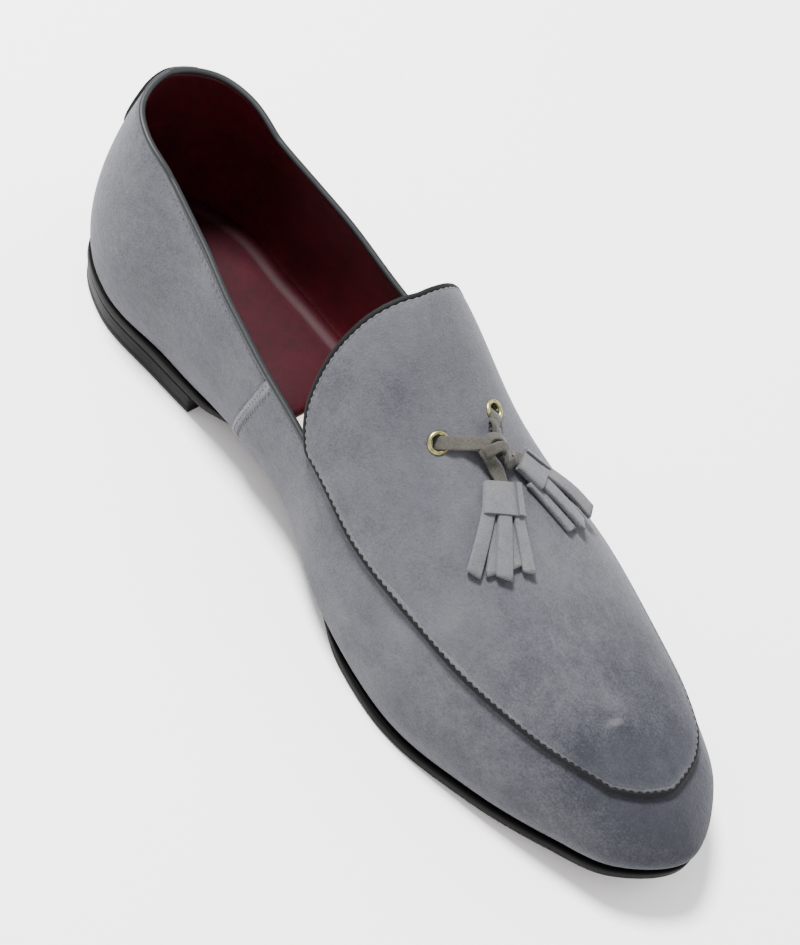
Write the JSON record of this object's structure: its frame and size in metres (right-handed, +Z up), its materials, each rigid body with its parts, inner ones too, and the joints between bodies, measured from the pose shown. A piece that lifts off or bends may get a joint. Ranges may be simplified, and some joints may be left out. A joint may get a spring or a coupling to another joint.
{
  "type": "tassel loafer",
  "caption": "Left tassel loafer: low slip-on dress shoe with an apron front, a knotted thong with tassels, a low heel and an open collar for the foot.",
  "frame": {"origin": "middle of the heel's flat bottom, on the floor", "axes": "+X towards the toe, +Y towards the outer side of the foot, +Z up"},
  "size_m": [0.2936, 0.0913, 0.0999],
  "materials": {
    "grey_suede": "brushed suede, cool grey",
    "grey_thong": "flat suede thong",
    "charcoal_cord": "dark piping cord",
    "charcoal_binding": "rolled edge, satin",
    "black_sole_edge": "painted and waxed edge",
    "black_heel": "painted and waxed",
    "cream_lining": "smooth, matt",
    "oxblood_sock": "smooth, glossy",
    "old_brass": "dull antique"
  },
  "bodies": {
    "root": {"outsole": "black_sole_edge", "heel": "black_heel", "insole": "cream_lining", "insole_sock": "oxblood_sock", "upper": "grey_suede", "apron_tongue": "grey_suede", "apron_piping": "charcoal_cord", "collar_binding": "charcoal_binding", "heel_tab": "grey_suede", "eyelet_medial": "old_brass", "eyelet_lateral": "old_brass", "lace_bar_medial": "grey_thong", "lace_bar_lateral": "grey_thong", "lace_knot": "grey_thong", "lace_end_medial": "grey_thong", "lace_end_lateral": "grey_thong", "tassel_medial": "grey_suede", "tassel_lateral": "grey_suede"}
  },
  "joints": []
}
